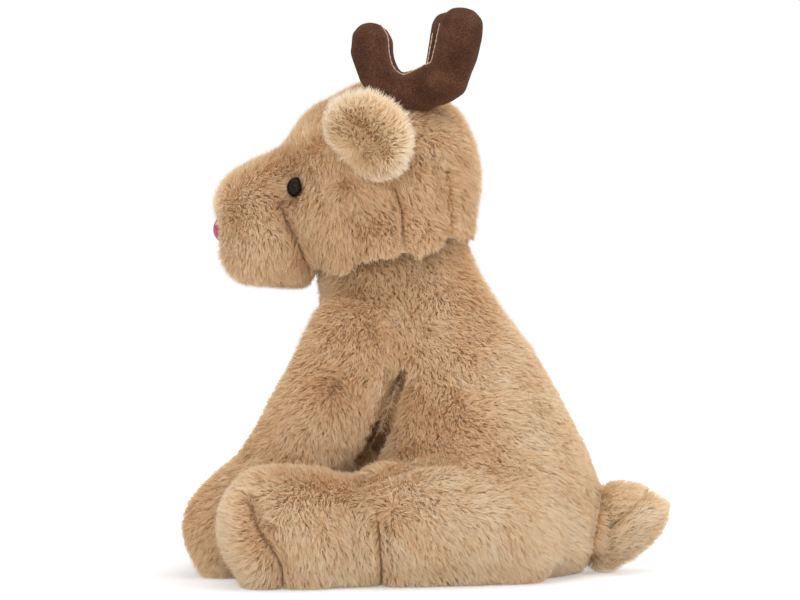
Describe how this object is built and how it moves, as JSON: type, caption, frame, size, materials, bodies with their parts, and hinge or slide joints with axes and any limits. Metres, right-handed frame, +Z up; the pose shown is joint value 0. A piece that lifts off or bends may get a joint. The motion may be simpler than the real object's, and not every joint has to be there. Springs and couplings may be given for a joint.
{
  "type": "plush deer",
  "caption": "Seated plush deer of short fur fabric with stuffed suede-like antlers, an embroidered nose, soft hinged limbs, head, ears and tail.",
  "frame": {"origin": "on the floor under the middle of the toy's bounding box", "axes": "+Z up; -X the way the deer faces; its left side towards -Y"},
  "size_m": [0.2974, 0.2164, 0.344],
  "materials": {
    "tan_fur": "short plush pile",
    "suede": "brushed suede-like cloth",
    "satin_thread": "satin-stitched thread",
    "eye_plastic": "polished",
    "washer_plastic": "moulded",
    "stuffing": "polyester fibre",
    "pouch_cloth": "woven, filled with pellets"
  },
  "bodies": {
    "body": {"body_cover": "tan_fur", "body_filling": "stuffing", "bean_pouch": "pouch_cloth"},
    "head": {"head_cover": "tan_fur", "snout_cover": "tan_fur", "head_filling": "stuffing", "nose": "satin_thread", "eye_left": "eye_plastic", "eye_right": "eye_plastic", "eye_washer_left": "washer_plastic", "eye_washer_right": "washer_plastic"},
    "tail": {"tail_cover": "tan_fur", "tail_filling": "stuffing"},
    "foreleg_left": {"foreleg_cover_left": "tan_fur", "foreleg_filling_left": "stuffing"},
    "hindleg_left": {"hindleg_cover_left": "tan_fur", "hindleg_filling_left": "stuffing", "foot_cover_left": "tan_fur", "sole_left": "tan_fur"},
    "ear_left": {"ear_left": "tan_fur", "ear_lining_left": "tan_fur"},
    "antler_left": {"antler_left": "suede"},
    "foreleg_right": {"foreleg_cover_right": "tan_fur", "foreleg_filling_right": "stuffing"},
    "hindleg_right": {"hindleg_cover_right": "tan_fur", "hindleg_filling_right": "stuffing", "foot_cover_right": "tan_fur", "sole_right": "tan_fur"},
    "ear_right": {"ear_right": "tan_fur", "ear_lining_right": "tan_fur"},
    "antler_right": {"antler_right": "suede"}
  },
  "joints": [
    {"name": "neck_nod", "type": "hinge", "parent": "body", "child": "head", "pos_m": [-0.01973, 0, 0.189], "axis": [0, 1, 0], "range_deg": [-6, 6], "stiffness_Nm_per_rad": 1.5},
    {"name": "foreleg_left_lift", "type": "hinge", "parent": "body", "child": "foreleg_left", "pos_m": [-0.03473, -0.028, 0.171], "axis": [0, 1, 0], "range_deg": [0, 25], "stiffness_Nm_per_rad": 0.6},
    {"name": "hindleg_left_splay", "type": "hinge", "parent": "body", "child": "hindleg_left", "pos_m": [0.08227, -0.038, 0.036], "axis": [0, 0, 1], "range_deg": [0, 15], "stiffness_Nm_per_rad": 0.6},
    {"name": "ear_left_flap", "type": "hinge", "parent": "head", "child": "ear_left", "pos_m": [-0.05073, -0.055, 0.2435], "axis": [0.7305, -0.0157, -0.6827], "range_deg": [0, 20], "stiffness_Nm_per_rad": 0.05},
    {"name": "antler_left_lean", "type": "hinge", "parent": "head", "child": "antler_left", "pos_m": [-0.01473, -0.028, 0.286], "axis": [1, 0, 0], "range_deg": [-8, 8], "stiffness_Nm_per_rad": 0.05},
    {"name": "foreleg_right_lift", "type": "hinge", "parent": "body", "child": "foreleg_right", "pos_m": [-0.03473, 0.028, 0.171], "axis": [0, 1, 0], "range_deg": [0, 25], "stiffness_Nm_per_rad": 0.6},
    {"name": "hindleg_right_splay", "type": "hinge", "parent": "body", "child": "hindleg_right", "pos_m": [0.08227, 0.038, 0.036], "axis": [0, 0, -1], "range_deg": [0, 15], "stiffness_Nm_per_rad": 0.6},
    {"name": "ear_right_flap", "type": "hinge", "parent": "head", "child": "ear_right", "pos_m": [-0.05073, 0.055, 0.2435], "axis": [-0.7305, -0.0157, 0.6827], "range_deg": [0, 20], "stiffness_Nm_per_rad": 0.05},
    {"name": "antler_right_lean", "type": "hinge", "parent": "head", "child": "antler_right", "pos_m": [-0.01473, 0.028, 0.286], "axis": [1, 0, 0], "range_deg": [-8, 8], "stiffness_Nm_per_rad": 0.05},
    {"name": "tail_wag", "type": "hinge", "parent": "body", "child": "tail", "pos_m": [0.08827, 0, 0.024], "axis": [0, 0, 1], "range_deg": [-12, 12], "stiffness_Nm_per_rad": 0.1}
  ]
}
